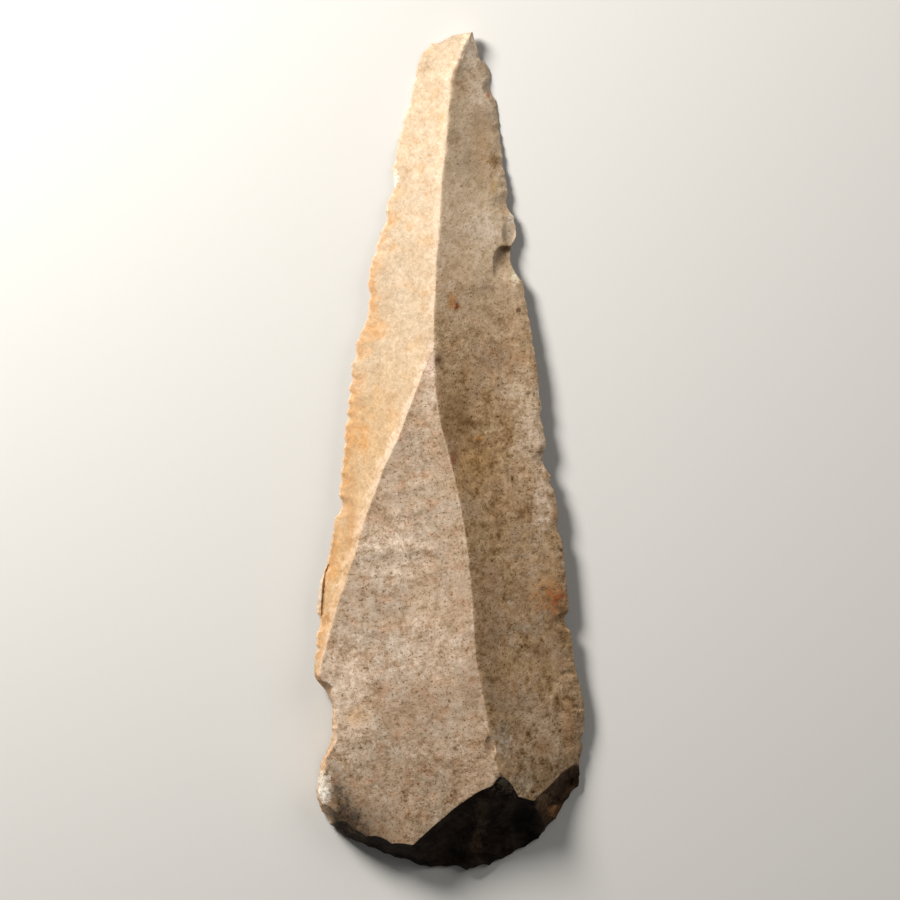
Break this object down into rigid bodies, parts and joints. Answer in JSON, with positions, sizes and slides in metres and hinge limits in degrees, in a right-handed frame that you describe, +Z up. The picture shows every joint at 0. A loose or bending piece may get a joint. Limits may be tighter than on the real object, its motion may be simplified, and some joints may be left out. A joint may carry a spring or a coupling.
{
  "type": "stone end scraper",
  "caption": "Long triangular flaked stone tool with a forked ridge, a narrow butt and a steep, rounded working end.",
  "frame": {"origin": "centre of the bounding box's base, on the plane the flake lies on", "axes": "+Y along the flake from the steep working end to the narrow butt, +Z up from the flaked underside through the ridges, +X to the right seen from above with the butt away from you"},
  "size_m": [0.034, 0.105, 0.0089],
  "materials": {
    "flaked_stone": "matte, weathered"
  },
  "bodies": {
    "root": {"stone": "flaked_stone"}
  },
  "joints": []
}
